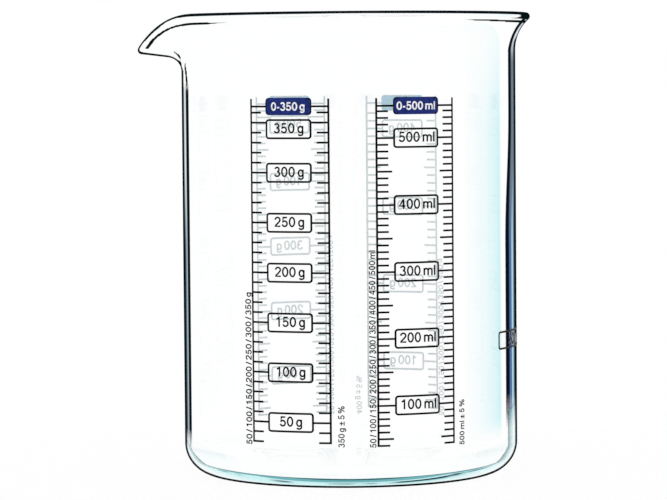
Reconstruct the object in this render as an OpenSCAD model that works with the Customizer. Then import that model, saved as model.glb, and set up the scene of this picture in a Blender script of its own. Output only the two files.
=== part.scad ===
// Glass measuring jug with a flared rim, a pulled spout and four enamel scales.
// Millimetres, +Z up. The origin is the middle of the face that the jug stands on.
// The spout points along -X, the flour and liquid scales face -Y.

/* [Vessel] */
// Outside diameter of the straight wall
body_od = 90; // [76:1:110]
// Height of the rim above the table
rim_h = 124; // [105:1:160]
// Thickness of the wall
wall_t = 2.1; // [1.6:0.1:3]
// Outside radius of the heel between the wall and the base
heel_r = 8.5; // [6:0.5:12]
// Height of the inside floor above the table
floor_h = 4.4; // [3.2:0.1:6]
// Depth of the shallow dome under the base
push_up = 1; // [0.4:0.1:1.6]
// Width of the flat ring that the jug stands on
foot_w = 4; // [2:0.5:8]

/* [Rim and spout] */
// How far the flared lip stands out from the wall
lip_reach = 4; // [2:0.5:6]
// Outside radius of the bend that flares the rim
flare_r = 11; // [8:0.5:14]
// How far the tip of the spout stands out from the wall
spout_reach = 11.8; // [9:0.1:16]
// How far the lip falls from the rim to the tip of the spout
spout_drop = 8.3; // [5:0.1:13]
// Radius of the tip of the spout, seen from above
spout_tip_r = 10; // [6:0.5:12]
// Outside radius of the bend under the spout
spout_bend_r = 4; // [2.5:0.5:7]
// Upward slope of the spout towards its tip, in degrees
spout_slope = 7; // [0:1:20]

/* [Printed scales] */
// Thickness of the fired enamel
ink_t = 0.1; // [0.05:0.01:0.2]
// Width of the printed lines
line_w = 0.5; // [0.3:0.05:0.7]
// Distance between the two rails of a scale
rail_gap = 21.4; // [19:0.2:24]
// Angle from the middle of the front or back to the middle of a scale
scale_deg = 21.6; // [20:0.1:30]
// Turn of the whole print about the jug's axis, in degrees
print_turn = 1.2; // [-10:0.1:10]
// Height of the lowest tick above the top of the heel
scale_rise = 3; // [1:0.5:8]
// Depth of the top line of the scales below the rim
scale_drop = 24.4; // [20:0.2:34]
// Length of the rails above the top line
rail_over = 2; // [0.5:0.1:4]
// Length of a tick between labelled values
short_tick = 3; // [2:0.1:3.4]
// Length of a tick halfway between labelled values
half_tick = 4; // [3.5:0.1:4.2]
// Width of a value frame and of a badge
frame_w = 12.7; // [10:0.1:13]
// Height of a value frame
frame_h = 5.2; // [4:0.1:6.5]
// Height of a badge
badge_h = 4.5; // [3:0.1:6]
// Radius of the corners of frames and badges
corner_r = 0.9; // [0.8:0.05:1.4]
// Least gap between a badge and the value frame below it
badge_gap = 1; // [0.6:0.1:3]

/* [Side mark] */
// Width of the empty frame on the side of the wall
mark_w = 24; // [16:1:30]
// Height of that frame
mark_h = 4.9; // [4:0.1:8]
// Height of its middle above the table
mark_z = 37; // [25:1:70]
// Angle of its middle from the front, in degrees
mark_deg = 76; // [70:1:100]

/* [Contents] */
// Bulk density of flour, g/ml
flour_density = 0.668; // [0.5:0.002:0.75]
// Density of the liquid, as ml of scale per ml of liquid
liquid_density = 1; // [0.9:0.01:1.1]
// Bulk density of sugar, g/ml
sugar_density = 0.95; // [0.8:0.01:1]
// Bulk density of rice, g/ml
rice_density = 0.79; // [0.7:0.005:0.9]

/* [Hidden] */

$fn = 120;
glass_tint = [0.80, 0.93, 0.93, 0.45];
ink_black = "#15181c";
ink_blue = "#1f2c6e";

// Values on the scales: one tick for each step, a frame for each label
tick_step = 10;
flour_label_step = 50;
label_step = 100;
half_step = 50;
// Least gap between the last tick and the top line of a scale
top_tick_gap = 0.9;

// Sections of the lofted rim, on each side of the spout and around the rest, and steps in each
spout_rings = 17;
rim_rings = 74;
ring_bias = 1.4;
bend_steps = 7;
lip_steps = 5;
dome_facets = 1440;
// How sharply the lip dips towards the tip
dip_power = 2.5;
// Straight wall kept below the bend of the spout
spout_root = 2;
// The lofted rim starts inside the turned wall, this far down and this far from its surfaces
lap_h = 1;
lap_skin = 0.06;

body_r = body_od / 2;
inner_r = body_r - wall_t;
mid_r = body_r - wall_t / 2;
foot_r = body_r - heel_r;
foot_inner_r = foot_r - foot_w;
dome_r = (pow(foot_inner_r, 2) + pow(push_up, 2)) / (2 * push_up);

lip_r = body_r + lip_reach;
flare_mid_r = flare_r + wall_t / 2;
flare_deg = acos(1 - lip_reach / flare_mid_r);
tip_x = body_r + spout_reach;
tip_centre = tip_x - spout_tip_r;
spout_half_deg = acos((lip_r - spout_tip_r) / tip_centre);
tip_half_deg = atan2(spout_tip_r * sin(spout_half_deg), tip_centre + spout_tip_r * cos(spout_half_deg));
root_z = bend_z(0) - spout_root;

// Level at which the vessel would be empty if its walls met the floor squarely
corner_loss = (1 - PI / 4) * pow(heel_r - wall_t, 2) * 2 / inner_r;
zero_z = floor_h + corner_loss;
ml_volume = 1000;
rail_x = rail_gap / 2;
long_tick = rail_x - frame_w / 2;
foot_z = heel_r + scale_rise;
badge_z = rim_h - scale_drop;
label_top_z = badge_z - badge_h / 2 - badge_gap;

// The rim and the spout in plan, at an angle from the middle of the spout
function plan_r(a) =
    abs(a) >= spout_half_deg ? lip_r
    : abs(a) > tip_half_deg ? lip_r / cos(spout_half_deg - abs(a))
    : tip_centre * cos(a) + sqrt(pow(spout_tip_r, 2) - pow(tip_centre * sin(a), 2));

// Share of the lip's way from the rim, 0, to the tip of the spout, 1
function lip_share(a) =
    abs(a) >= spout_half_deg ? 0
    : max(0, 1 - (tip_x - plan_r(a) * cos(a)) / (tip_x - lip_r * cos(spout_half_deg)));

// Share of the trough behind the lip, with a round bottom
function trough_share(a) = abs(a) >= spout_half_deg ? 0 : pow(cos(90 * a / spout_half_deg), 2);

// The bend of the wall: its angle, its radius, and the straight run from it to the lip
function bend_deg(a) = flare_deg + (90 - spout_slope - flare_deg) * trough_share(a);
function bend_mid_r(a) = flare_mid_r + (spout_bend_r - flare_r) * trough_share(a);
function bend_run(a) = (plan_r(a) - body_r - bend_mid_r(a) * (1 - cos(bend_deg(a)))) / sin(bend_deg(a));
function lip_z(a) = rim_h - wall_t / 2 - spout_drop * pow(lip_share(a), dip_power);
function bend_z(a) = lip_z(a) - bend_mid_r(a) * sin(bend_deg(a)) - bend_run(a) * cos(bend_deg(a));

// Outline of the rim, up from inside the wall, over the rounded lip and down again, as [radius, height]
function rim_section(a) =
    let (
        half_t = wall_t / 2,
        turn = bend_deg(a),
        r = bend_mid_r(a),
        centre = [mid_r + r, bend_z(a)],
        lip = [plan_r(a) - half_t, lip_z(a)]
    )
    [
        [body_r - lap_skin, root_z - lap_h],
        for (i = [0:bend_steps - 1]) let (t = turn * i / bend_steps)
            centre + (r - half_t) * [-cos(t), sin(t)],
        for (i = [0:lip_steps]) let (t = 180 * i / lip_steps)
            lip + half_t * [cos(turn - t), -sin(turn - t)],
        for (i = [bend_steps - 1:-1:0]) let (t = turn * i / bend_steps)
            centre + (r + half_t) * [-cos(t), sin(t)],
        [inner_r + lap_skin, root_z - lap_h]
    ];

// The scales: density of the contents, step between labels, angle of the middle from the front
flour = [flour_density, flour_label_step, print_turn - scale_deg];
liquid = [liquid_density, label_step, print_turn + scale_deg];
sugar = [sugar_density, label_step, print_turn + 180 + scale_deg];
rice = [rice_density, label_step, print_turn + 180 - scale_deg];

// Height that one unit of a scale fills in the bore, and the heights and values that follow from it
function unit_rise(scale) = ml_volume / (scale[0] * PI * pow(inner_r, 2));
function tick_z(scale, value) = zero_z + value * unit_rise(scale);
function value_at(scale, z) = (z - zero_z) / unit_rise(scale);
function first_tick(scale) = ceil(value_at(scale, foot_z) / tick_step) * tick_step;
function last_tick(scale) = floor(value_at(scale, badge_z - top_tick_gap) / tick_step) * tick_step;
function last_label(scale) = floor(value_at(scale, label_top_z) / scale[1]) * scale[1];
function is_label(scale, value) = value % scale[1] == 0 && value <= last_label(scale);
function tick_length(scale, value) =
    is_label(scale, value) ? long_tick
    : value % half_step == 0 ? half_tick
    : short_tick;

// Half section of a solid tub with a rounded lower corner
module tub_section(r, h, corner) {
    square([r - corner, h]);
    translate([0, corner]) square([r, h - corner]);
    translate([r - corner, corner]) circle(corner);
}

// Base, heel and straight wall, turned in one piece
module turned_wall() {
    rotate_extrude()
        difference() {
            tub_section(body_r, root_z, heel_r);
            translate([0, floor_h]) tub_section(inner_r, root_z, heel_r - wall_t);
            translate([0, push_up - dome_r]) circle(dome_r, $fn = dome_facets);
        }
}

// Flared rim and spout, lofted through sections that turn and stretch from the rim to the tip
module lofted_rim() {
    angles = [
        for (i = [-spout_rings:spout_rings]) spout_half_deg * sign(i) * pow(abs(i) / spout_rings, ring_bias),
        for (i = [1:rim_rings - 1]) spout_half_deg + (360 - 2 * spout_half_deg) * i / rim_rings
    ];
    rings = len(angles);
    sides = len(rim_section(0));
    points = [
        for (a = angles) for (p = rim_section(a)) [-p.x * cos(a), -p.x * sin(a), p.y]
    ];
    faces = [
        for (k = [0:rings - 1]) for (j = [0:sides - 1])
            let (low = k * sides, high = (k + 1) % rings * sides, next = (j + 1) % sides)
            each [
                [low + j, low + next, high + next],
                [low + j, high + next, high + j]
            ]
    ];
    polyhedron(points, faces);
}

module glass_vessel() {
    color(glass_tint) {
        turned_wall();
        lofted_rim();
    }
}

// Fires a flat drawing onto the wall, with its middle at an angle from the front
module on_wall(angle) {
    intersection() {
        rotate_extrude() translate([body_r, 0]) square([ink_t, rim_h]);
        rotate([90, 0, angle]) linear_extrude(lip_r) children();
    }
}

module rounded_bar(w, h, corner) {
    square([w - 2 * corner, h], center = true);
    square([w, h - 2 * corner], center = true);
    for (x = [-1, 1], y = [-1, 1])
        translate([x * (w / 2 - corner), y * (h / 2 - corner)]) circle(corner);
}

module outline_frame(w, h) {
    difference() {
        rounded_bar(w, h, corner_r);
        rounded_bar(w - 2 * line_w, h - 2 * line_w, corner_r - line_w);
    }
}

// A tick from a rail towards the middle of its scale, on the left (-1) or the right (1)
module tick(side, z, length) {
    outer_x = side * (rail_x + line_w / 2);
    inner_x = side * (rail_x - length);
    translate([min(outer_x, inner_x), z - line_w / 2]) square([abs(outer_x - inner_x), line_w]);
}

module ladder(scale, side) {
    first = first_tick(scale);
    bottom_z = tick_z(scale, first) - line_w / 2;
    on_wall(scale[2]) {
        translate([side * rail_x - line_w / 2, bottom_z]) square([line_w, badge_z + rail_over - bottom_z]);
        for (value = [first:tick_step:last_tick(scale)])
            tick(side, tick_z(scale, value), tick_length(scale, value));
        tick(side, badge_z, long_tick);
    }
}

module badge(scale) {
    on_wall(scale[2]) translate([0, badge_z]) rounded_bar(frame_w, badge_h, corner_r);
}

// A frame is centred on its tick, unless it has to sit lower to clear the badge
module value_frames(scale) {
    on_wall(scale[2])
        for (value = [scale[1]:scale[1]:last_label(scale)])
            translate([0, min(tick_z(scale, value), label_top_z - frame_h / 2)])
                outline_frame(frame_w, frame_h);
}

module flour_badge() { color(ink_blue) badge(flour); }
module flour_left_ladder() { color(ink_black) ladder(flour, -1); }
module flour_right_ladder() { color(ink_black) ladder(flour, 1); }
module flour_value_frames() { color(ink_black) value_frames(flour); }

module liquid_badge() { color(ink_blue) badge(liquid); }
module liquid_left_ladder() { color(ink_black) ladder(liquid, -1); }
module liquid_right_ladder() { color(ink_black) ladder(liquid, 1); }
module liquid_value_frames() { color(ink_black) value_frames(liquid); }

module sugar_badge() { color(ink_blue) badge(sugar); }
module sugar_left_ladder() { color(ink_black) ladder(sugar, -1); }
module sugar_right_ladder() { color(ink_black) ladder(sugar, 1); }
module sugar_value_frames() { color(ink_black) value_frames(sugar); }

module rice_badge() { color(ink_blue) badge(rice); }
module rice_left_ladder() { color(ink_black) ladder(rice, -1); }
module rice_right_ladder() { color(ink_black) ladder(rice, 1); }
module rice_value_frames() { color(ink_black) value_frames(rice); }

module side_mark() {
    color(ink_black) on_wall(mark_deg) translate([0, mark_z]) outline_frame(mark_w, mark_h);
}

glass_vessel();
flour_badge();
flour_left_ladder();
flour_right_ladder();
flour_value_frames();
liquid_badge();
liquid_left_ladder();
liquid_right_ladder();
liquid_value_frames();
sugar_badge();
sugar_left_ladder();
sugar_right_ladder();
sugar_value_frames();
rice_badge();
rice_left_ladder();
rice_right_ladder();
rice_value_frames();
side_mark();
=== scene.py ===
"""Looks of the glass measuring jug: clear tinted glass, fired enamel scales, plain figures."""

import math
from collections import namedtuple

import bmesh
import bpy
from mathutils import Matrix, Vector


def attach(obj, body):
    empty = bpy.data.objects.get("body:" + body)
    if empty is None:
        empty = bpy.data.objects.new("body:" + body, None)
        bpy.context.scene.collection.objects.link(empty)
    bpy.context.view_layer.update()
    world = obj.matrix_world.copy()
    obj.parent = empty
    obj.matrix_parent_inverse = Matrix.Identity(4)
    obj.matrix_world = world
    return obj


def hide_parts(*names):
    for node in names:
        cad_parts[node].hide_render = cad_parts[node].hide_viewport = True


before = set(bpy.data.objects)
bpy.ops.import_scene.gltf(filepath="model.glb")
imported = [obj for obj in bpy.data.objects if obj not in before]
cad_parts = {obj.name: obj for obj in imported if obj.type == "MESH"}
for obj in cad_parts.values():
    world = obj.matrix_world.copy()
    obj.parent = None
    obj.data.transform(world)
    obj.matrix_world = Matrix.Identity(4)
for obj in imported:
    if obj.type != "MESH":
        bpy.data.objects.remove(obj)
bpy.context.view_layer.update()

MM = 0.001
BODY = "root"

# Sizes of the vessel, in millimetres, as in the part's source
BODY_R = 45.0
RIM_H = 124.0
WALL_T = 2.1
HEEL_R = 8.5
FLOOR_H = 4.4
PUSH_UP = 1.0
FOOT_W = 4.0
LIP_REACH = 4.0
FLARE_R = 11.0
SPOUT_REACH = 11.8
SPOUT_DROP = 8.3
SPOUT_TIP_R = 10.0
SPOUT_BEND_R = 4.0
SPOUT_SLOPE = math.radians(7)
DIP_POWER = 2.5
SPOUT_ROOT = 2.0
INK_T = 0.1

# The glass stands out this far past the enamel's inner face, so that the enamel is bonded to it
BOND = 0.02

INNER_R = BODY_R - WALL_T
MID_R = BODY_R - WALL_T / 2
CORNER_IN_R = HEEL_R - WALL_T
FOOT_R = BODY_R - HEEL_R
FOOT_INNER_R = FOOT_R - FOOT_W
DOME_R = (FOOT_INNER_R**2 + PUSH_UP**2) / (2 * PUSH_UP)
LIP_R = BODY_R + LIP_REACH
LIP_HALF = WALL_T / 2
FLARE_MID_R = FLARE_R + WALL_T / 2
FLARE_TURN = math.acos(1 - LIP_REACH / FLARE_MID_R)
TIP_X = BODY_R + SPOUT_REACH
TIP_CENTRE = TIP_X - SPOUT_TIP_R
SPOUT_HALF = math.acos((LIP_R - SPOUT_TIP_R) / TIP_CENTRE)
TIP_HALF = math.atan2(
    SPOUT_TIP_R * math.sin(SPOUT_HALF), TIP_CENTRE + SPOUT_TIP_R * math.cos(SPOUT_HALF)
)

# Steps of the glass mesh, and the lengths of wall and bend that have closer steps
DOME_STEPS = 10
FOOT_STEPS = 3
HEEL_STEPS = 30
WALL_STEPS = 20
ROOT_STEPS = 5
ROOT_RUN = 5.0
BEND_STEPS = 16
NEAR_LIP = 2.1
NEAR_LIP_STEPS = 14
LIP_STEPS = 24
FLOOR_STEPS = 12
SPOUT_STEPS = 44
RIM_STEPS = 180


# Helpers for numbers


def smooth(value, start, end):
    """0 at the start, 1 at the end and a soft step between."""
    share = min(1.0, max(0.0, (value - start) / (end - start)))
    return share * share * (3 - 2 * share)


def even(start, end, steps):
    """Values from start up to, and not including, end."""
    return [start + (end - start) * i / steps for i in range(steps)]


def between(pairs, place):
    """The value at a place along these (place, value) pairs."""
    for (low, start), (high, end) in zip(pairs, pairs[1:]):
        if place <= high:
            return start + (end - start) * (place - low) / (high - low)
    return pairs[-1][1]


def part_way(first, second, share):
    """The first value, moved by a share towards the second."""
    return first + (second - first) * share


# Form of the rim and the spout, by the angle from the middle of the spout

Bend = namedtuple("Bend", "turn radius run z lip_z")


def plan_r(a):
    """Radius of the lip in plan."""
    a = abs(a)
    if a >= SPOUT_HALF:
        return LIP_R
    if a > TIP_HALF:
        return LIP_R / math.cos(SPOUT_HALF - a)
    return TIP_CENTRE * math.cos(a) + math.sqrt(SPOUT_TIP_R**2 - (TIP_CENTRE * math.sin(a)) ** 2)


def lip_share(a):
    """Share of the lip's way from the rim, 0, to the tip of the spout, 1."""
    if abs(a) >= SPOUT_HALF:
        return 0.0
    reach = TIP_X - LIP_R * math.cos(SPOUT_HALF)
    return max(0.0, 1 - (TIP_X - plan_r(a) * math.cos(a)) / reach)


def trough_share(a):
    """Share of the trough behind the lip, with a round bottom."""
    if abs(a) >= SPOUT_HALF:
        return 0.0
    return math.cos(math.pi / 2 * a / SPOUT_HALF) ** 2


def bend(a):
    """The wall's bend: its turn, its middle radius, the straight run from it to the lip's middle, the
    height where it starts and the height of the lip's middle."""
    share = trough_share(a)
    turn = part_way(FLARE_TURN, math.pi / 2 - SPOUT_SLOPE, share)
    radius = FLARE_MID_R + (SPOUT_BEND_R - FLARE_R) * share
    run = (plan_r(a) - BODY_R - radius * (1 - math.cos(turn))) / math.sin(turn)
    lip_z = RIM_H - LIP_HALF - SPOUT_DROP * lip_share(a) ** DIP_POWER
    return Bend(turn, radius, run, lip_z - radius * math.sin(turn) - run * math.cos(turn), lip_z)


def bend_path(a, side):
    """The bend on the outside (-1) or the inside (1), from the wall to the lip. Each point has a radius,
    a height, its share of the way and the way that is left."""
    curve = bend(a)
    radius = curve.radius + side * WALL_T / 2
    whole = radius * curve.turn + curve.run
    path = []
    for way in even(0, whole - NEAR_LIP, BEND_STEPS) + even(whole - NEAR_LIP, whole, NEAR_LIP_STEPS):
        t = min(curve.turn, way / radius)
        straight = max(0.0, way - radius * curve.turn)
        r = MID_R + curve.radius - radius * math.cos(t) + straight * math.sin(t)
        z = curve.z + radius * math.sin(t) + straight * math.cos(t)
        path.append((r, z, way / whole, whole - way))
    return path


ROOT_Z = bend(0).z - SPOUT_ROOT

# Painted dark lines of the glass, which stand in for the shade that its edges refract: how far a surface
# turns from the eye, from 0 to 1, before the painted dark starts, and over what turn it fades in
EDGE_LINE = 0.82
FLARE_LINE = 0.88
LIP_LINE = 0.05
SPOUT_LIP_LINE = 0.30
SPOUT_UNDER_LINE = 0.60
TIP_LINE = 0.56
RIM_END_LINE = 0.66
NO_LINE = 1.05
LINE_FADE = 0.05

# The heel's painted dark lines, by the turn of its surface in degrees
HEEL_LINES = ((0, 0.63), (27, 0.63), (30, 0.72), (33, 0.77), (44, 0.81), (55, 0.815), (90, EDGE_LINE))

# The spout's painted dark lines and its lip's painted dark line are there in full from these shares of its
# trough, and the painted line below it comes in between two shares
SPOUT_FULL = 0.25
SPOUT_LIP_FULL = 0.5
UNDER_SHARES = (0.55, 0.9)

# Shares of the bend's way over which the wall's painted line turns into the painted line below the rim
BEND_SHARES = (0.2, 0.5)

# The lip's painted dark line, which stands in for the shade that the lip refracts, runs between a low and a
# high slope of its surface. Between two angles from the spout's middle, in degrees, the low slope changes
# from the spout's to the rim's
LIP_LINE_LOW = math.radians(15)
SPOUT_LIP_LINE_LOW = math.radians(-20)
SPOUT_LIP_TURNS = (11, 21)
LIP_LINE_HIGH = math.radians(90)

# A second painted dark line, which stands in for the shade that the lip refracts, lies below the lip: its way
# from the lip and its width in millimetres, by the degrees from the spout's middle. It is stronger beside the
# tip, where it comes in and goes out between these degrees
SECOND_LINES = (
    (0, 0.6), (9, 0.43), (12, 0.5), (16, 0.76), (20, 0.97), (25, 1.2), (42, 1.2), (60, 0.75), (125, 0.75),
    (150, 1.0), (180, 1.0),
)
SECOND_WIDTHS = (
    (0, 1.0), (9, 0.9), (17, 0.7), (40, 0.7), (44, 0.35), (125, 0.35), (145, 0.7), (180, 0.8),
)
SECOND_PAINTED_LINE = 0.44
SPOUT_SECOND_PAINTED_LINE = 0.10
SPOUT_SECOND_LINE_IN = (4.5, 5.5)
SPOUT_SECOND_LINE_OUT = (38, 42)

# Two thin painted dark strokes inside the outline of the spout's root, which stand in for the shade that it
# refracts: (height, degrees from the spout's middle), half their width in degrees and how fast they fade
# beside it
ROOT_STROKES = (((105, 17.6), (108, 16.2), (110.8, 14.4)), ((112.4, 6.9), (113.2, 6.3), (114.4, 5.8)))
ROOT_STROKE = 0.3
ROOT_STROKE_HALF = 0.4
ROOT_STROKE_FALL = 0.9

# The wall that stands behind the spout's root has no painted outline, from these degrees and heights on
BEHIND_TURNS = (5, 8)
BEHIND_Z = (109.3, 111.3)
ROOT_EDGE_LINE = 0.68

# The wall's edge has painted bands, which stand in for the shade and colour that it refracts: the height
# where they start, which rises to the right, how they narrow towards the lip, and where they end under the
# spout
BANDS_LOW_Z = 8.0
BANDS_RISE = 7.0
BANDS_FADE = 4.5
NARROW_Z = (64.0, 97.0)
WALL_SHIFT = 0.066
LIP_SHIFT = 0.11
SPOUT_BANDS_Z = (103.5, 106.5)

# A painted ring in the heel stands in for the colour that the base refracts: how far its surface turns from
# the eye where the ring starts, by the turn of the heel in degrees, how much later it starts towards the
# spout, from which turn of the heel on, and how high it runs up the wall
RING_STARTS = ((0, 0.305), (51, 0.305), (58, 0.50), (62, 0.64), (76, 0.656), (90, 0.70))
RING_SIDE = 0.035
RING_SIDE_TURNS = (math.radians(60), math.radians(90))
RING_TOP_Z = 13.0

# A point of the glass, and the names under which its last four values are stored for the material, which
# places the painted lines, bands and ring by them
Point = namedtuple("Point", "r z line bands shift ring", defaults=(NO_LINE, 0.0, 0.0, NO_LINE))
LINE_NAME = "painted_dark_from"
WALL_NAME = "painted_band_share"
SHIFT_NAME = "edge_shift"
RING_NAME = "heel_ring"
STORED_NAMES = (LINE_NAME, WALL_NAME, SHIFT_NAME, RING_NAME)


def from_spout(a):
    """Degrees from the spout's middle, the same on both sides."""
    return math.degrees(abs(math.remainder(a, 2 * math.pi)))


def to_right(a):
    """0 at the spout's middle, on the left, and 1 opposite, on the right."""
    return (1 - math.cos(a)) / 2


def on_spout(a):
    """1 on the spout and 0 beside it."""
    return min(1.0, trough_share(a) / SPOUT_FULL)


def at_tip(a):
    """1 at the tip of the spout and 0 beside it."""
    return 1 - smooth(from_spout(a), *SPOUT_SECOND_LINE_IN)


def behind_root(a):
    """1 on the wall behind the spout's root and 0 elsewhere."""
    return on_spout(a) * smooth(from_spout(a), *BEHIND_TURNS)


def root_stroke(a, z):
    """The painted dark line of the strokes in the spout's root."""
    for stroke in ROOT_STROKES:
        if stroke[0][0] <= z <= stroke[-1][0]:
            off = abs(from_spout(a) - between(stroke, z)) - ROOT_STROKE_HALF
            return ROOT_STROKE + ROOT_STROKE_FALL * max(0.0, off)
    return NO_LINE


def on_second_line(a, way):
    """Whether the second painted dark line lies at that way below the lip."""
    degrees = from_spout(a)
    return abs(way - between(SECOND_LINES, degrees)) < between(SECOND_WIDTHS, degrees) / 2


def second_line(a):
    """The second painted dark line below the lip."""
    degrees = from_spout(a)
    beside_tip = smooth(degrees, *SPOUT_SECOND_LINE_IN) * (1 - smooth(degrees, *SPOUT_SECOND_LINE_OUT))
    return part_way(SECOND_PAINTED_LINE, SPOUT_SECOND_PAINTED_LINE, beside_tip) + (NO_LINE - SECOND_PAINTED_LINE) * at_tip(a)


def base_points(a):
    """The underside, from the axis over the dome, the flat foot and the round heel to the wall."""
    dome = [(r, PUSH_UP - DOME_R + math.sqrt(DOME_R**2 - r**2)) for r in even(0, FOOT_INNER_R, DOME_STEPS)]
    foot = [(r, 0.0) for r in even(FOOT_INNER_R, FOOT_R, FOOT_STEPS)]
    points = [Point(r, z) for r, z in dome + foot]
    for t in even(0, math.pi / 2, HEEL_STEPS):
        line = between(HEEL_LINES, math.degrees(t))
        ring = between(RING_STARTS, math.degrees(t))
        ring += RING_SIDE * math.cos(a) * smooth(t, *RING_SIDE_TURNS)
        r = FOOT_R + (HEEL_R + BOND) * math.sin(t)
        points.append(Point(r, HEEL_R - HEEL_R * math.cos(t), line, ring=ring))
    return points


def wall_points(a):
    """The outside of the straight wall, from the heel to the bend."""
    bands_z = BANDS_LOW_Z + BANDS_RISE * to_right(a)
    ring_z = RING_TOP_Z + BANDS_RISE * to_right(a)
    ring_start = RING_STARTS[-1][1] + RING_SIDE * math.cos(a)
    low_top = ROOT_Z - ROOT_RUN
    heights = even(HEEL_R, low_top, WALL_STEPS) + even(low_top, ROOT_Z, ROOT_STEPS)
    heights += even(ROOT_Z, bend(a).z, ROOT_STEPS)
    points = []
    for z in heights:
        line = part_way(EDGE_LINE, NO_LINE, behind_root(a) * smooth(z, *BEHIND_Z))
        line = min(line, root_stroke(a, z))
        bands = smooth(z, bands_z, bands_z + BANDS_FADE) * (1 - on_spout(a) * smooth(z, *SPOUT_BANDS_Z))
        shift = WALL_SHIFT * to_right(a) * smooth(z, *NARROW_Z)
        ring = ring_start if z < ring_z else NO_LINE
        points.append(Point(BODY_R + BOND, z, line, bands, shift, ring))
    return points


def bend_points(a):
    """The outside of the bend, from the wall to the lip."""
    wall_line = part_way(ROOT_EDGE_LINE, EDGE_LINE, smooth(from_spout(a), *BEHIND_TURNS))
    rim_line = part_way(FLARE_LINE, NO_LINE, on_spout(a))
    rim_line = part_way(rim_line, SPOUT_UNDER_LINE, smooth(trough_share(a), *UNDER_SHARES))
    points = []
    for r, z, share, way in bend_path(a, -1):
        line = part_way(wall_line, rim_line, smooth(share, *BEND_SHARES))
        line = part_way(line, NO_LINE, behind_root(a))
        if on_second_line(a, way):
            line = min(line, second_line(a))
        line = min(line, root_stroke(a, z))
        shift = WALL_SHIFT * to_right(a) + LIP_SHIFT * share
        points.append(Point(r + BOND * (1 - share), z, line, 1 - on_spout(a), shift))
    return points


def lip_points(a):
    """The round lip, from the outside over the top to the inside."""
    turn = bend(a).turn
    lip_z = bend(a).lip_z
    middle_r = plan_r(a) - LIP_HALF
    line_low = part_way(SPOUT_LIP_LINE_LOW, LIP_LINE_LOW, smooth(from_spout(a), *SPOUT_LIP_TURNS))
    top_line = part_way(LIP_LINE, SPOUT_LIP_LINE, min(1.0, trough_share(a) / SPOUT_LIP_FULL))
    end_line = part_way(RIM_END_LINE, EDGE_LINE, on_spout(a)) + (TIP_LINE - EDGE_LINE) * at_tip(a)
    points = []
    for t in even(0, math.pi, LIP_STEPS):
        slope = t - turn
        line = end_line
        if on_second_line(a, -LIP_HALF * t):
            line = min(line, second_line(a))
        elif line_low < slope < LIP_LINE_HIGH:
            line = top_line
        points.append(Point(middle_r + LIP_HALF * math.cos(slope), lip_z + LIP_HALF * math.sin(slope), line))
    points.append(Point(middle_r - LIP_HALF * math.cos(turn), lip_z + LIP_HALF * math.sin(turn)))
    return points


def inside_points(a):
    """The inside, from the lip over the bend, the wall and the round corner to the axis on the floor."""
    low_z = FLOOR_H + CORNER_IN_R
    points = [Point(r, z) for r, z, _, _ in bend_path(a, 1)[:0:-1]]
    heights = even(bend(a).z, ROOT_Z, ROOT_STEPS) + even(ROOT_Z, low_z, WALL_STEPS)
    points += [Point(INNER_R, z) for z in heights]
    for t in even(math.pi / 2, 0, HEEL_STEPS):
        r = INNER_R - CORNER_IN_R + CORNER_IN_R * math.sin(t)
        points.append(Point(r, low_z - CORNER_IN_R * math.cos(t)))
    points += [Point(r, FLOOR_H) for r in even(INNER_R - CORNER_IN_R, 0, FLOOR_STEPS) + [0.0]]
    return points


def glass_section(a):
    """The whole wall at one angle, from the axis under the base, over the lip, to the axis on the floor."""
    return base_points(a) + wall_points(a) + bend_points(a) + lip_points(a) + inside_points(a)


def glass_bmesh():
    """The vessel in one closed skin, swept through its sections."""
    angles = even(-SPOUT_HALF, SPOUT_HALF, 2 * SPOUT_STEPS)
    angles += even(SPOUT_HALF, 2 * math.pi - SPOUT_HALF, RIM_STEPS)
    bm = bmesh.new()
    layers = [bm.verts.layers.float.new(name) for name in STORED_NAMES]

    def add(a, point):
        """Adds a vertex that stores the point's values for the material."""
        r, z, *stored = point
        vertex = bm.verts.new((-r * math.cos(a) * MM, -r * math.sin(a) * MM, z * MM))
        for layer, value in zip(layers, stored):
            vertex[layer] = value
        return vertex

    sections = [glass_section(a) for a in angles]
    bottom = add(0, sections[0][0])
    top = add(0, sections[0][-1])
    rings = [[add(a, p) for p in section[1:-1]] for a, section in zip(angles, sections)]
    for low, high in zip(rings, rings[1:] + rings[:1]):
        bm.faces.new((bottom, high[0], low[0]))
        bm.faces.new((top, low[-1], high[-1]))
        for j in range(len(low) - 1):
            bm.faces.new((low[j], high[j], high[j + 1], low[j + 1]))
    for face in bm.faces:
        face.smooth = True
    return bm


def new_piece(name, bm, material, slot_name, *replaced):
    """Makes a piece of the jug from a bmesh: it rides on the body and stands for the named nodes."""
    bmesh.ops.recalc_face_normals(bm, faces=bm.faces)
    mesh = bpy.data.meshes.new(name)
    bm.to_mesh(mesh)
    bm.free()
    piece = bpy.data.objects.new(name, mesh)
    bpy.context.scene.collection.objects.link(piece)
    mesh.materials.append(material)
    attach(piece, BODY)
    if replaced:
        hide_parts(*replaced)


# Materials


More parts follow.
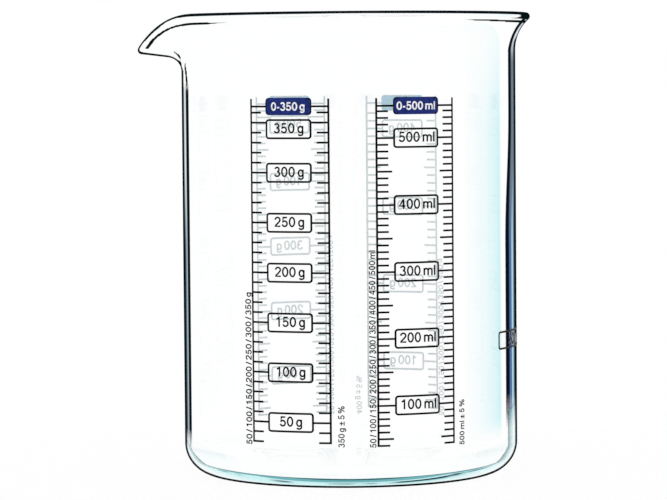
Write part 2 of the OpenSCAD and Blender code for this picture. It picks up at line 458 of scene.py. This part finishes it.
class Graph:
    """The nodes of a material or a world, with a short call for each kind that is used often."""

    def __init__(self, tree):
        self.nodes = tree.nodes
        self.links = tree.links

    def put(self, source, socket):
        """Puts a source into a socket: a link to another socket, or a plain value."""
        if isinstance(source, bpy.types.NodeSocket):
            self.links.new(source, socket)
        else:
            socket.default_value = source

    def add(self, kind, inputs=None, **settings):
        """The outputs of a new node, with its settings and with sources for its inputs, by name or number."""
        node = self.nodes.new("ShaderNode" + kind)
        for name, value in settings.items():
            setattr(node, name, value)
        for key, source in (inputs or {}).items():
            self.put(source, node.inputs[key])
        return node.outputs

    def maths(self, operation, *values):
        """The result of an operation on numbers."""
        return self.add("Math", dict(enumerate(values)), operation=operation)["Value"]

    def vector_maths(self, operation, *values):
        """The outputs of an operation on vectors."""
        return self.add("VectorMath", dict(enumerate(values)), operation=operation)

    def soft_step(self, value, start, end):
        """0 below the start and 1 above the end."""
        inputs = {"Value": value, "From Min": start, "From Max": end}
        return self.add("MapRange", inputs, interpolation_type="SMOOTHSTEP")["Result"]

    def ramp(self, place, stops):
        """The colour at a place along these (place, colour) stops."""
        node = self.nodes.new("ShaderNodeValToRGB")
        elements = node.color_ramp.elements
        while len(elements) < len(stops):
            elements.new(0.5)
        for element, (position, colour) in zip(elements, stops):
            element.position = position
            element.color = (*colour, 1)
        self.put(place, node.inputs["Fac"])
        return node.outputs["Color"]

    def mixed(self, share, first, second, kind="RGBA"):
        """The first colour or number, with a share of the second."""
        return self.add("Mix", {"Factor": share, "A": first, "B": second}, data_type=kind)["Result"]

    def blend(self, share, first, second):
        """The first shader, with a share of the second."""
        return self.add("MixShader", {0: share, 1: first, 2: second})["Shader"]

    def stored(self, name):
        """A value that the mesh stores at its vertices."""
        return self.add("Attribute", attribute_name=name)["Fac"]


def new_material(name):
    """A material, its nodes, its main shader and its output."""
    material = bpy.data.materials.new(name)
    material.use_nodes = True
    graph = Graph(material.node_tree)
    return material, graph, graph.nodes["Principled BSDF"], graph.nodes["Material Output"]


# Glass: light that has turned more than MOST_TURNS times in it passes straight on, and a sheen on the
# outside shows the panel, in full up to one height and not at all from another
WHITE = (1, 1, 1)
GLASS_IOR = 1.47
GLASS_TINT = (0.02, 0.66, 0.74)
GLASS_DENSITY = 1.2
MOST_TURNS = 5
SHEEN = 0.5
SHEEN_FULL_Z = 88.0
SHEEN_TOP_Z = 121.0

# Layer Weight measures the turn evenly at this blend. A view from high above counts as one whose
# direction is level by at least this share
EVEN_BLEND = 0.5
LEAST_LEVEL = 0.2

# Colours of the painted lines, bands and ring, which stand in for the shade and colour that the glass
# refracts
PAINTED_SHADE_COLOUR = (0.002, 0.006, 0.008)
INK_BLUE = (0.002, 0.006, 0.025)
NAVY = (0.006, 0.010, 0.12)
SEA_BLUE = (0.03, 0.10, 0.22)
SKY_BLUE = (0.12, 0.21, 0.38)
BRIGHT_BLUE = (0.43, 0.68, 0.79)
DARK_SLATE = (0.05, 0.07, 0.10)
SLATE = (0.16, 0.21, 0.27)
GREY = (0.21, 0.28, 0.31)
PALE_GREY = (0.50, 0.60, 0.65)
SILVER = (0.70, 0.76, 0.81)
DARK_TEAL = (0.022, 0.112, 0.122)
TEAL = (0.115, 0.40, 0.42)
MID_TEAL = (0.17, 0.45, 0.49)
PALE_TEAL = (0.60, 0.90, 0.91)

# Painted bands of the wall's edge, which stand in for the shade and colour that it refracts, by how far the
# surface has turned from the eye: inner line, body of the glass and outline, on the left and on the right,
# lower down, at the top and in the flare
LEFT_START = 0.709
LEFT_BANDS = (
    (0.725, PAINTED_SHADE_COLOUR), (0.768, PAINTED_SHADE_COLOUR), (0.781, PALE_GREY), (0.805, GREY), (0.830, DARK_SLATE),
    (0.860, PAINTED_SHADE_COLOUR),
)
LEFT_TOP_BANDS = (
    (0.725, PAINTED_SHADE_COLOUR), (0.774, PAINTED_SHADE_COLOUR), (0.788, SILVER), (0.825, SILVER), (0.860, PAINTED_SHADE_COLOUR),
)
RIGHT_START = 0.638
RIGHT_BANDS = (
    (0.645, PAINTED_SHADE_COLOUR), (0.688, PAINTED_SHADE_COLOUR), (0.705, NAVY), (0.728, SKY_BLUE), (0.748, SEA_BLUE),
    (0.772, BRIGHT_BLUE), (0.793, BRIGHT_BLUE), (0.815, SLATE), (0.850, PAINTED_SHADE_COLOUR),
)
RIGHT_TOP_BANDS = (
    (0.645, PAINTED_SHADE_COLOUR), (0.690, PAINTED_SHADE_COLOUR), (0.705, DARK_SLATE), (0.72, SLATE), (0.815, SLATE),
    (0.850, PAINTED_SHADE_COLOUR),
)
FLARE_BANDS = (
    (0.645, PAINTED_SHADE_COLOUR), (0.700, PAINTED_SHADE_COLOUR), (0.72, SILVER), (0.825, SILVER), (0.850, PAINTED_SHADE_COLOUR),
)
TOP_BANDS_LOW_Z = 58.0
TOP_BANDS_HIGH_Z = 86.0
FLARE_BANDS_LOW_Z = 110.0
FLARE_BANDS_HIGH_Z = 118.0
BAND_FADE = 0.012
SIDE_FADE = 20.0

# The heel's painted ring, which stands in for the colour that the base refracts, from its upper edge, 0, to
# the outline, 1: its colours in front, there with a second line, and at the sides, and how much of it there
# is
RING_COLOURS = ((0.0, DARK_TEAL), (0.06, DARK_TEAL), (0.085, MID_TEAL), (0.19, MID_TEAL), (0.22, PALE_TEAL))
RING_LINE_COLOURS = RING_COLOURS + (
    (0.25, PALE_TEAL), (0.272, INK_BLUE), (0.322, INK_BLUE), (0.35, MID_TEAL), (0.43, PALE_TEAL),
)
RING_SIDE_COLOURS = ((0.0, DARK_TEAL), (0.05, DARK_TEAL), (0.16, TEAL), (0.42, PALE_TEAL))
RING_SHARES = (
    (0.0, 0.0), (0.012, 0.95), (0.19, 0.85), (0.33, 0.8), (0.36, 0.65), (0.5, 0.4), (0.65, 0.1), (1.0, 0.1),
)
RING_SIDE_SHARES = ((0.0, 0.0), (0.03, 0.9), (0.12, 0.75), (0.40, 0.3), (1.0, 0.15))
RING_GAIN = 2.0
RING_SIDE_FROM = 0.35
RING_SIDE_TO = 0.55
RING_GRAIN = 70.0
RING_GRAIN_LOW = 0.42
RING_GRAIN_HIGH = 0.58


def edge_turn(graph):
    """How far the surface has turned from the eye round the jug's axis, whatever the height of the eye."""
    upward = graph.add("CombineXYZ", {"Z": 1})["Vector"]
    facing = graph.add("LayerWeight", {"Blend": EVEN_BLEND})["Facing"]
    tilt = graph.add("LayerWeight", {"Blend": EVEN_BLEND, "Normal": upward})["Facing"]
    rise = graph.maths("SUBTRACT", 1, tilt)
    square = graph.maths("SUBTRACT", 1, graph.maths("MULTIPLY", rise, rise))
    level_share = graph.maths("SQRT", graph.maths("MAXIMUM", square, LEAST_LEVEL**2))
    towards = graph.maths("SUBTRACT", 1, facing)
    return graph.maths("SUBTRACT", 1, graph.maths("DIVIDE", towards, level_share))


def wall_bands(graph, turned, x, z):
    """Colour of the painted bands along the wall's edge, which stand in for its refracted shade and colour,
    and how much of them there is.
    """
    banded = graph.maths("SUBTRACT", turned, graph.stored(SHIFT_NAME))
    at_right = graph.soft_step(x, -SIDE_FADE * MM, SIDE_FADE * MM)
    at_top = graph.soft_step(z, TOP_BANDS_LOW_Z * MM, TOP_BANDS_HIGH_Z * MM)
    at_flare = graph.soft_step(z, FLARE_BANDS_LOW_Z * MM, FLARE_BANDS_HIGH_Z * MM)
    colours = []
    shares = []
    for start, low, high in (
        (LEFT_START, LEFT_BANDS, LEFT_TOP_BANDS), (RIGHT_START, RIGHT_BANDS, RIGHT_TOP_BANDS),
    ):
        colour = graph.mixed(at_top, graph.ramp(banded, low), graph.ramp(banded, high))
        colours.append(graph.mixed(at_flare, colour, graph.ramp(banded, FLARE_BANDS)))
        shares.append(graph.soft_step(banded, start, start + BAND_FADE))
    share = graph.mixed(at_right, *shares, kind="FLOAT")
    return graph.mixed(at_right, *colours), graph.maths("MULTIPLY", graph.stored(WALL_NAME), share)


def heel_ring(graph, turned, position):
    """Colour of the painted ring in the heel, which stands in for the colour that the base refracts, and how
    much of it there is.
    """
    start = graph.stored(RING_NAME)
    depth = graph.maths("SUBTRACT", turned, start)
    depth = graph.maths("DIVIDE", depth, graph.maths("SUBTRACT", 1, start))
    at_side = graph.soft_step(start, RING_SIDE_FROM, RING_SIDE_TO)
    grain = graph.add("TexNoise", {"Scale": RING_GRAIN, "Vector": position})["Fac"]
    lined = graph.soft_step(grain, RING_GRAIN_LOW, RING_GRAIN_HIGH)
    in_front = graph.mixed(lined, graph.ramp(depth, RING_COLOURS), graph.ramp(depth, RING_LINE_COLOURS))
    colour = graph.mixed(at_side, in_front, graph.ramp(depth, RING_SIDE_COLOURS))
    greys = [[(place, (grey,) * 3) for place, grey in stops] for stops in (RING_SHARES, RING_SIDE_SHARES)]
    share = graph.mixed(at_side, *(graph.ramp(depth, stops) for stops in greys))
    strength = graph.maths("MULTIPLY", graph.maths("SUBTRACT", NO_LINE, start), RING_GAIN)
    return colour, graph.maths("MULTIPLY", share, strength)


def dark_lines(graph, turned):
    """Colour of the painted dark lines, which stand in for the shade that the glass's edges refract, and how
    much of them there is.
    """
    start = graph.stored(LINE_NAME)
    return (*PAINTED_SHADE_COLOUR, 1), graph.soft_step(turned, start, graph.maths("ADD", start, LINE_FADE))


def glass_material():
    """Clear glass with painted shade: edges that turn from the eye get painted dark or blue lines and the
    heel a painted ring, standing in for what the glass refracts, and the depth takes up red.
    """
    material, graph, shader, output = new_material("glass_with_painted_edges")
    shader.inputs["Base Color"].default_value = (*WHITE, 1)
    shader.inputs["Transmission Weight"].default_value = 1
    shader.inputs["IOR"].default_value = GLASS_IOR
    shader.inputs["Roughness"].default_value = 0
    geometry = graph.add("NewGeometry")
    position = geometry["Position"]
    parts = graph.add("SeparateXYZ", {"Vector": position})
    path = graph.add("LightPath")
    outside = graph.maths("SUBTRACT", 1, geometry["Backfacing"])
    outside = graph.maths("MULTIPLY", outside, path["Is Camera Ray"])
    turned = edge_turn(graph)

    sheen = graph.add("BsdfGlossy", {"Color": (*WHITE, 1), "Roughness": 0})["BSDF"]
    above = graph.soft_step(parts["Z"], SHEEN_FULL_Z * MM, SHEEN_TOP_Z * MM)
    shine = graph.maths("MULTIPLY", turned, graph.maths("MULTIPLY_ADD", above, -SHEEN, SHEEN))
    body = graph.blend(graph.maths("MULTIPLY", outside, shine), shader.outputs["BSDF"], sheen)
    # Painted shade and refraction: bands, ring and dark lines are diffuse colours laid over the glass's
    # outside, for camera rays only
    for colour, share in (
        wall_bands(graph, turned, parts["X"], parts["Z"]),
        heel_ring(graph, turned, position),
        dark_lines(graph, turned),
    ):
        painted_shader = graph.add("BsdfDiffuse", {"Color": colour})["BSDF"]
        body = graph.blend(graph.maths("MULTIPLY", outside, share), body, painted_shader)

    trapped = graph.maths("GREATER_THAN", path["Ray Depth"], MOST_TURNS)
    freed = graph.maths("MAXIMUM", path["Is Shadow Ray"], trapped)
    clear = graph.add("BsdfTransparent")["BSDF"]
    graph.put(graph.blend(freed, body, clear), output.inputs["Surface"])
    absorb = graph.add("VolumeAbsorption", {"Color": (*GLASS_TINT, 1), "Density": GLASS_DENSITY})
    graph.put(absorb["Volume"], output.inputs["Volume"])
    return material


# Enamel: its grain, the shades of its colour at two values of the grain, its gloss and its bumps
ENAMEL_GRAIN = 900
ENAMEL_DETAIL = 3
ENAMEL_STOPS = (0.3, 0.7)
ENAMEL_SHADES = (0.75, 1.3)
ENAMEL_ROUGH = (0.28, 0.46)
ENAMEL_SPECULAR = 0.03
ENAMEL_BUMP = 0.08
ENAMEL_BUMP_H = 0.02


def enamel_material(name, front, back):
    """Fired enamel: satin and slightly uneven, pale on the face that is bonded to the glass."""
    material, graph, shader, _ = new_material(name)
    geometry = graph.add("NewGeometry")
    position = geometry["Position"]
    from_axis = graph.vector_maths("MULTIPLY", position, (1, 1, 0))["Vector"]
    outward = graph.vector_maths("DOT_PRODUCT", from_axis, geometry["True Normal"])["Value"]
    is_back = graph.maths("LESS_THAN", outward, 0)
    grain = graph.add("TexNoise", {"Scale": ENAMEL_GRAIN, "Detail": ENAMEL_DETAIL, "Vector": position})["Fac"]
    shades = [tuple(min(1, shade * c) for c in front) for shade in ENAMEL_SHADES]
    front_colour = graph.ramp(grain, list(zip(ENAMEL_STOPS, shades)))
    low, high = ENAMEL_ROUGH
    rough = graph.add("MapRange", {"Value": grain, "To Min": low, "To Max": high})["Result"]
    bump = graph.add("Bump", {"Strength": ENAMEL_BUMP, "Distance": ENAMEL_BUMP_H * MM, "Height": grain})
    graph.put(graph.mixed(is_back, front_colour, (*back, 1)), shader.inputs["Base Color"])
    graph.put(rough, shader.inputs["Roughness"])
    graph.put(bump["Normal"], shader.inputs["Normal"])
    shader.inputs["Specular IOR Level"].default_value = ENAMEL_SPECULAR
    return material


glass_with_painted_edges = glass_material()
black_enamel = enamel_material("black_enamel", front=(0.0014, 0.0015, 0.0019), back=(0.70, 0.77, 0.79))
blue_enamel = enamel_material("blue_enamel", front=(0.014, 0.026, 0.15), back=(0.45, 0.68, 0.80))
white_enamel = enamel_material("white_enamel", front=(0.86, 0.87, 0.88), back=(0.80, 0.82, 0.83))

new_piece("glass", glass_bmesh(), glass_with_painted_edges, "glass", "glass_vessel")

for name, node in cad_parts.items():
    if name == "glass_vessel":
        continue
    ink = blue_enamel if name.endswith("_badge") else black_enamel
    for slot in node.material_slots:
        slot.material = ink

# Plain figures: the width and the strokes of each, drawn in a box that is one unit high

ARC_STEP = math.radians(12)
LEAST_ARC_STEPS = 3


def arc(cx, cy, rx, ry, start, end):
    """Points of an elliptical arc, in degrees, anticlockwise where end is above start."""
    start, end = math.radians(start), math.radians(end)
    steps = max(LEAST_ARC_STEPS, math.ceil(abs(end - start) / ARC_STEP))
    turns = [start + (end - start) * i / steps for i in range(steps + 1)]
    return [(cx + rx * math.cos(t), cy + ry * math.sin(t)) for t in turns]


DIGIT_W = 0.776
GLYPHS = {
    " ": (0.22, []),
    "0": (DIGIT_W, [arc(0.388, 0.5, 0.262, 0.44, 90, 450)]),
    "1": (DIGIT_W, [[(0.46, 0.0), (0.46, 1.0)], [(0.46, 0.93), (0.33, 0.82), (0.17, 0.745)]]),
    "2": (
        DIGIT_W,
        [
            arc(0.385, 0.7, 0.255, 0.24, 180, -32)
            + [(0.40, 0.35), (0.20, 0.18), (0.125, 0.0625), (0.69, 0.0625)],
        ],
    ),
    "3": (DIGIT_W, [arc(0.375, 0.735, 0.215, 0.205, 165, -90), arc(0.375, 0.2925, 0.262, 0.2375, 90, -165)]),
    "4": (DIGIT_W, [[(0.51, 0.0), (0.51, 1.0)], [(0.49, 0.95), (0.085, 0.295), (0.71, 0.295)]]),
    "5": (
        DIGIT_W,
        [[(0.64, 0.9375), (0.225, 0.9375), (0.148, 0.455)] + arc(0.375, 0.325, 0.262, 0.265, 145, -165)],
    ),
    "g": (
        DIGIT_W,
        [
            arc(0.345, 0.37, 0.235, 0.3, 0, 360),
            [(0.58, 0.72), (0.58, -0.04)] + arc(0.345, -0.05, 0.235, 0.165, 0, -160),
        ],
    ),
    "m": (
        1.163,
        [
            [(0.15, 0.0), (0.15, 0.72)],
            [(0.15, 0.45)] + arc(0.365, 0.46, 0.215, 0.2, 165, 0) + [(0.58, 0.0)],
            [(0.58, 0.45)] + arc(0.795, 0.46, 0.215, 0.2, 165, 0) + [(1.01, 0.0)],
        ],
    ),
    "l": (0.31, [[(0.155, 0.0), (0.155, 1.0)]]),
    "/": (0.388, [[(0.06, -0.02), (0.33, 1.02)]]),
    "-": (0.465, [[(0.07, 0.36), (0.395, 0.36)]]),
    "±": (0.816, [[(0.09, 0.5), (0.73, 0.5)], [(0.41, 0.2), (0.41, 0.8)], [(0.09, 0.06), (0.73, 0.06)]]),
    "%": (
        1.24,
        [
            arc(0.29, 0.74, 0.17, 0.21, 0, 360),
            arc(0.95, 0.26, 0.17, 0.21, 0, 360),
            [(0.32, -0.02), (0.92, 1.02)],
        ],
    ),
}
STROKE = 0.165
BOLD_STROKE = 0.19

# Points nearer than this are one point, and a corner's mitre is cut off where it would be sharper
SAME_POINT = 1e-6
SHARPEST_MITRE = 0.35


def ribbon(points, width):
    """Left and right edges of a stroke along these points, with mitred corners, and whether it is closed."""
    closed = math.dist(points[0], points[-1]) < SAME_POINT
    if closed:
        points = points[:-1]
    count = len(points)
    edges = []
    for i, (x, y) in enumerate(points):
        before = points[(i - 1) % count] if closed or i else None
        after = points[(i + 1) % count] if closed or i < count - 1 else None
        sides = []
        for p, q in ((before, (x, y)), ((x, y), after)):
            if p is not None and q is not None:
                length = math.dist(p, q)
                sides.append(((p[1] - q[1]) / length, (q[0] - p[0]) / length))
        nx = sum(s[0] for s in sides) / len(sides)
        ny = sum(s[1] for s in sides) / len(sides)
        reach = width / 2 / max(SHARPEST_MITRE, nx * nx + ny * ny)
        edges.append(((x + nx * reach, y + ny * reach), (x - nx * reach, y - ny * reach)))
    return edges, closed


def text_width(words):
    """Width of words that are one unit high."""
    return sum(GLYPHS[c][0] for c in words)


def add_stroke(bm, points, width, place, radii):
    """Adds one stroke to bm, between two radii. place(x, y) gives its angle and height on the wall."""
    inner_r, outer_r = radii
    edges, closed = ribbon(points, width)
    rows = []
    for left, right in edges:
        row = []
        for (x, y), r in ((left, outer_r), (right, outer_r), (right, inner_r), (left, inner_r)):
            angle, z = place(x, y)
            row.append(bm.verts.new((r * math.sin(angle) * MM, -r * math.cos(angle) * MM, z * MM)))
        rows.append(row)
    for low, high in zip(rows, rows[1:] + rows[:1] if closed else rows[1:]):
        for j in range(len(low)):
            k = (j + 1) % len(low)
            bm.faces.new((low[j], low[k], high[k], high[j]))
    if not closed:
        bm.faces.new(rows[0][::-1])
        bm.faces.new(rows[-1])


def add_words(bm, words, height, place, stroke, radii):
    """Adds one line of words to bm, with its middle at the place."""
    x = -text_width(words) / 2
    for letter in words:
        advance, strokes = GLYPHS[letter]
        for points in strokes:
            points = [((px + x) * height, py * height) for px, py in points]
            add_stroke(bm, points, stroke * height, place, radii)
        x += advance


def on_wall(angle, z):
    """Drawings that are laid flat against the wall, with their middle at an angle and a height."""
    return lambda u, v: (angle + math.asin(u / BODY_R), z + v)


def level(angle, z):
    """Words that run round the wall, with their middle at an angle and their foot at a height."""
    return lambda u, v: (angle + u / BODY_R, z + v)


def upright(angle, z):
    """Words that run up the wall, with their foot at an angle and their middle at a height."""
    return lambda u, v: (angle - v / BODY_R, z + u)


# Sizes of the scales, in millimetres and degrees, as in the part's source
PRINT_TURN = 1.2
SCALE_DEG = 21.6
RAIL_X = 10.7
BADGE_Z = 99.6
LABEL_TOP_Z = 96.35
FRAME_H = 5.2
BADGE_H = 4.5
FRAME_W = 12.7
CORNER_R = 0.9
ML = 1000.0
ZERO_Z = FLOOR_H + (1 - math.pi / 4) * CORNER_IN_R**2 * 2 / INNER_R

# Sizes of the figures and captions, and how far the values stand from the middles of their frames
FIGURE_H = 2.6
FIGURE_RISE = 0.25
FIGURE_ASIDE = 0.2
BADGE_FIGURE_H = 2.1
BADGE_LINE = 0.3
CAPTION_STEP = 50
CAPTION_GAP = 0.55
NOTE_H = 1.6
NOTE_Z = 16.8
NOTE_X = 2.6
NOTE_WORDS = "± 5 %"

# Figures lie on the glass. What is printed on a badge reaches from just inside its face to above it, in
# shares of the badge's thickness
FIGURE_RADII = (BODY_R, BODY_R + INK_T)
ON_BADGE_SHARES = (0.8, 1.25)
ON_BADGE_RADII = tuple(BODY_R + share * INK_T for share in ON_BADGE_SHARES)

# A scale: its name, its middle in degrees from the front, the density of what it measures in g/ml, the
# step and the last of its values, its unit, and the heights between which its caption runs
Scale = namedtuple("Scale", "name degrees density step top unit caption_z")
SCALES = (
    Scale("flour", PRINT_TURN - SCALE_DEG, 0.668, 50, 350, "g", (11.5, 51.5)),
    Scale("liquid", PRINT_TURN + SCALE_DEG, 1.0, 100, 500, "ml", (11.2, 62.5)),
    Scale("sugar", PRINT_TURN + 180 + SCALE_DEG, 0.95, 100, 500, "g", (11.3, 62.5)),
    Scale("rice", PRINT_TURN + 180 - SCALE_DEG, 0.79, 100, 400, "g", (11.5, 56.0)),
)


def value_figures(scale):
    """The values, each in its frame."""
    angle = math.radians(scale.degrees) + FIGURE_ASIDE / BODY_R
    rise = ML / (scale.density * math.pi * INNER_R**2)
    bm = bmesh.new()
    for value in range(scale.step, scale.top + 1, scale.step):
        z = min(ZERO_Z + value * rise, LABEL_TOP_Z - FRAME_H / 2)
        place = level(angle, z - FIGURE_H / 2 + FIGURE_RISE)
        add_words(bm, f"{value} {scale.unit}", FIGURE_H, place, STROKE, FIGURE_RADII)
    new_piece(f"{scale.name}_figures", bm, black_enamel, "enamel_black")


def badge_figures(scale):
    """The range of the scale, on its badge."""
    place = level(math.radians(scale.degrees), BADGE_Z - BADGE_FIGURE_H / 2)
    bm = bmesh.new()
    add_words(bm, f"0-{scale.top} {scale.unit}", BADGE_FIGURE_H, place, BOLD_STROKE, ON_BADGE_RADII)
    new_piece(f"{scale.name}_badge_figures", bm, white_enamel, "enamel_blue")


def badge_edge(scale):
    """A thin dark line round the badge."""
    points = []
    for turn, side_x, side_y in ((0, 1, 1), (90, -1, 1), (180, -1, -1), (270, 1, -1)):
        cx = side_x * ((FRAME_W - BADGE_LINE) / 2 - CORNER_R)
        cy = side_y * ((BADGE_H - BADGE_LINE) / 2 - CORNER_R)
        points += arc(cx, cy, CORNER_R, CORNER_R, turn, turn + 90)
    bm = bmesh.new()
    place = on_wall(math.radians(scale.degrees), BADGE_Z)
    add_stroke(bm, points + points[:1], BADGE_LINE, place, ON_BADGE_RADII)
    new_piece(f"{scale.name}_badge_edge", bm, black_enamel, "enamel_black")


def captions(scale):
    """A row of values up the left side, as long as its place, and a note at the right foot."""
    middle = math.radians(scale.degrees)
    low_z, high_z = scale.caption_z
    values = range(CAPTION_STEP, scale.top + 1, CAPTION_STEP)
    words = " / ".join(str(value) for value in values) + f" {scale.unit}"
    height = (high_z - low_z) / text_width(words)
    place = upright(middle - math.asin((RAIL_X + CAPTION_GAP) / BODY_R), (low_z + high_z) / 2)
    bm = bmesh.new()
    add_words(bm, words, height, place, STROKE, FIGURE_RADII)
    place = upright(middle + math.asin((RAIL_X + NOTE_X + NOTE_H / 2) / BODY_R), NOTE_Z)
    add_words(bm, f"{scale.top} {scale.unit} {NOTE_WORDS}", NOTE_H, place, STROKE, FIGURE_RADII)
    new_piece(f"{scale.name}_captions", bm, black_enamel, "enamel_black")


for scale in SCALES:
    value_figures(scale)
    badge_figures(scale)
    badge_edge(scale)
    captions(scale)

# Plain figures in the side mark, seen edge-on from the front
MARK_WORDS = "500 ml"
MARK_DEG = 76
MARK_Z = 37.0
MARK_FIGURE_H = 3.2
MARK_ASIDE = 1.5
MARK_STROKE = 0.24


def side_mark_figures():
    """A plain volume in the frame of the side mark."""
    place = level(math.radians(MARK_DEG) + MARK_ASIDE / BODY_R, MARK_Z - MARK_FIGURE_H / 2)
    bm = bmesh.new()
    add_words(bm, MARK_WORDS, MARK_FIGURE_H, place, MARK_STROKE, FIGURE_RADII)
    new_piece("side_mark_figures", bm, black_enamel, "enamel_black")


side_mark_figures()

# Floor, in metres: it lies just below the jug and fades out from a share of its radius on
FLOOR_R = 0.2
FLOOR_Z = -0.0002
FLOOR_SIDES = 96
FLOOR_FADE = 0.6
FLOOR_COLOUR = (0.97, 0.97, 0.97)
FLOOR_ROUGH = 0.9
FLOOR_WHITE = 0.9


def floor_material():
    """A pale floor, mostly white by itself and wholly white where the glass shows it."""
    material, graph, shader, output = new_material("pale_floor")
    shader.inputs["Base Color"].default_value = (*FLOOR_COLOUR, 1)
    shader.inputs["Roughness"].default_value = FLOOR_ROUGH
    path = graph.add("LightPath")
    in_glass = graph.maths("MAXIMUM", path["Is Transmission Ray"], path["Is Glossy Ray"])
    whiteness = graph.maths("MAXIMUM", in_glass, FLOOR_WHITE)
    body = graph.blend(whiteness, shader.outputs["BSDF"], graph.add("Emission")["Emission"])
    from_middle = graph.vector_maths("LENGTH", graph.add("TexCoord")["Object"])["Value"]
    fade = graph.soft_step(from_middle, FLOOR_FADE * FLOOR_R, FLOOR_R)
    body = graph.blend(fade, body, graph.add("BsdfTransparent")["BSDF"])
    graph.put(body, output.inputs["Surface"])
    return material


bm = bmesh.new()
bmesh.ops.create_circle(bm, cap_ends=True, radius=FLOOR_R, segments=FLOOR_SIDES)
mesh = bpy.data.meshes.new("floor")
bm.to_mesh(mesh)
bm.free()
floor = bpy.data.objects.new("floor", mesh)
floor.location.z = FLOOR_Z
mesh.materials.append(floor_material())
bpy.context.scene.collection.objects.link(floor)

# White light from all sides, with a cyan panel beside the jug, from its right side to behind it, that
# only first reflections show: (degrees from +X, colour). The world counts a first reflection as 2 turns
PANEL = ((-6, WHITE), (36, (0.0, 0.72, 0.80)), (39, WHITE))
FIRST_REFLECTION = 2.5

world = bpy.data.worlds.new("studio")
bpy.context.scene.world = world
world.use_nodes = True
graph = Graph(world.node_tree)
parts = graph.add("SeparateXYZ", {"Vector": graph.add("TexCoord")["Generated"]})
azimuth = graph.maths("ARCTAN2", parts["Y"], parts["X"])
turn = graph.add("MapRange", {"Value": azimuth, "From Min": -math.pi, "From Max": math.pi})["Result"]
panel = graph.ramp(turn, [(0.5 + degrees / 360, colour) for degrees, colour in PANEL])
path = graph.add("LightPath")
mirrored = graph.maths("SUBTRACT", path["Is Glossy Ray"], path["Is Transmission Ray"])
at_once = graph.maths("LESS_THAN", path["Ray Depth"], FIRST_REFLECTION)
shown = graph.maths("MULTIPLY", mirrored, at_once)
graph.put(graph.mixed(shown, (*WHITE, 1), panel), graph.nodes["Background"].inputs["Color"])

# Camera, in metres, with the photo's width and its focal length in pixels
EYE = Vector((0, -0.930, 0.108))
FOCAL_PX = 3440.0
FRAME_PX = 667.0
PITCH = math.radians(2.937)
YAW = math.radians(-0.27)
ROLL = math.radians(-0.45)
SENSOR_MM = 36
NEAR_CLIP = 0.01

forward = Vector((math.sin(YAW) * math.cos(PITCH), math.cos(YAW) * math.cos(PITCH), -math.sin(PITCH)))
right = Vector((math.cos(YAW), -math.sin(YAW), 0))
up = right.cross(forward)
tilted_right = math.cos(ROLL) * right + math.sin(ROLL) * up
tilted_up = math.cos(ROLL) * up - math.sin(ROLL) * right
lens = bpy.data.cameras.new("camera")
lens.sensor_width = SENSOR_MM
lens.lens = FOCAL_PX / FRAME_PX * SENSOR_MM
lens.clip_start = NEAR_CLIP
camera = bpy.data.objects.new("camera", lens)
camera.matrix_world = Matrix((tilted_right, tilted_up, -forward)).transposed().to_4x4()
camera.location = EYE
bpy.context.scene.collection.objects.link(camera)
bpy.context.scene.camera = camera

# Light has to find its way out of thick glass
LIGHT_BOUNCES = 32
cycles = bpy.context.scene.cycles
cycles.max_bounces = LIGHT_BOUNCES
cycles.glossy_bounces = LIGHT_BOUNCES
cycles.transmission_bounces = LIGHT_BOUNCES

bpy.context.scene.view_settings.view_transform = "Standard"
